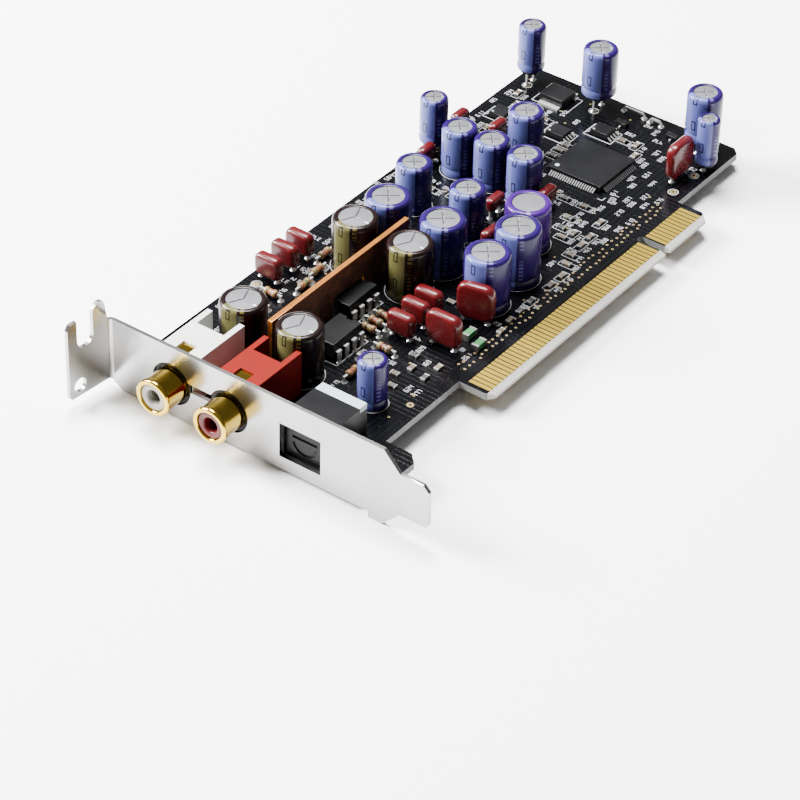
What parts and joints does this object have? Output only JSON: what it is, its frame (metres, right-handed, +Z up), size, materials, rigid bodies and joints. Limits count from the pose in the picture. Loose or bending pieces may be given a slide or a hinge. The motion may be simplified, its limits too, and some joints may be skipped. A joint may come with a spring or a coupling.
{
  "type": "pci sound card",
  "caption": "Black expansion card with a low-profile steel bracket, gold phono jacks, a shuttered optical port, violet and brown capacitors and a gold edge connector.",
  "frame": {"origin": "bottom centre of the whole card's bounding box", "axes": "+X along the board, away from the bracket; +Y from the edge connector towards the upper edge; +Z up, out of the component side"},
  "size_m": [0.158, 0.0812, 0.024],
  "materials": {
    "bracket_steel": "polished nickel plate",
    "screw_steel": "zinc plated",
    "spacer_brass": "plain turned",
    "board_laminate": "black solder mask",
    "contact_gold": "gold plate",
    "white_plastic": "moulded satin",
    "red_plastic": "moulded satin",
    "jack_gold": "polished gold plate",
    "black_plastic": "fine moulded texture",
    "lens_plastic": "clear grey",
    "grey_plastic": "moulded satin",
    "shield_copper": "tarnished copper",
    "brown_sleeve": "shrunk film",
    "violet_sleeve": "shrunk film",
    "plug_rubber": "moulded rubber",
    "tinned_wire": "tinned",
    "red_resin": "dipped resin",
    "chip_epoxy": "moulded epoxy",
    "resistor_enamel": "enamel",
    "component_ceramic": "sintered",
    "green_resin": "moulded resin",
    "solder": "soldered"
  },
  "bodies": {
    "card": {"bracket": "bracket_steel", "bracket_screws": "screw_steel", "bracket_spacers": "spacer_brass", "circuit_board": "board_laminate", "edge_contacts_top": "contact_gold", "edge_contacts_bottom": "contact_gold", "white_jack_housing": "white_plastic", "red_jack_housing": "red_plastic", "white_jack_shell": "jack_gold", "red_jack_shell": "jack_gold", "white_jack_insulator": "white_plastic", "red_jack_insulator": "red_plastic", "white_jack_contact": "jack_gold", "red_jack_contact": "jack_gold", "white_jack_ground_strip": "jack_gold", "red_jack_ground_strip": "jack_gold", "jack_washers": "black_plastic", "optical_housing": "black_plastic", "optical_ferrule": "lens_plastic", "optical_rear_bar": "grey_plastic", "shield_plate": "shield_copper", "brown_capacitors": "brown_sleeve", "large_violet_capacitors": "violet_sleeve", "flat_top_capacitor": "violet_sleeve", "medium_violet_capacitors": "violet_sleeve", "small_violet_capacitors": "violet_sleeve", "thin_violet_capacitor": "violet_sleeve", "capacitor_plugs": "plug_rubber", "capacitor_leads": "tinned_wire", "small_film_capacitors": "red_resin", "bead_film_capacitors": "red_resin", "large_film_capacitors": "red_resin", "film_capacitor_leads": "tinned_wire", "amplifier_chips": "chip_epoxy", "amplifier_pins": "tinned_wire", "controller_chip": "chip_epoxy", "controller_leads": "tinned_wire", "small_chips": "chip_epoxy", "small_chip_leads": "tinned_wire", "regulator": "chip_epoxy", "regulator_tab_and_leads": "tinned_wire", "resistors": "resistor_enamel", "resistor_wires": "tinned_wire", "wire_jumpers": "tinned_wire", "chip_components": "component_ceramic", "green_inductors": "green_resin", "inductor_ends": "solder", "transistors": "chip_epoxy", "transistor_legs": "tinned_wire", "solder_joints": "solder"},
    "shutter": {"optical_shutter": "black_plastic"}
  },
  "joints": [
    {"name": "shutter_hinge", "type": "hinge", "parent": "card", "child": "shutter", "pos_m": [-0.0655, -0.00948, 0.01183], "axis": [0, -1, 0], "range_deg": [0, 85], "stiffness_Nm_per_rad": 0.0002, "springref_deg": -22.92}
  ]
}
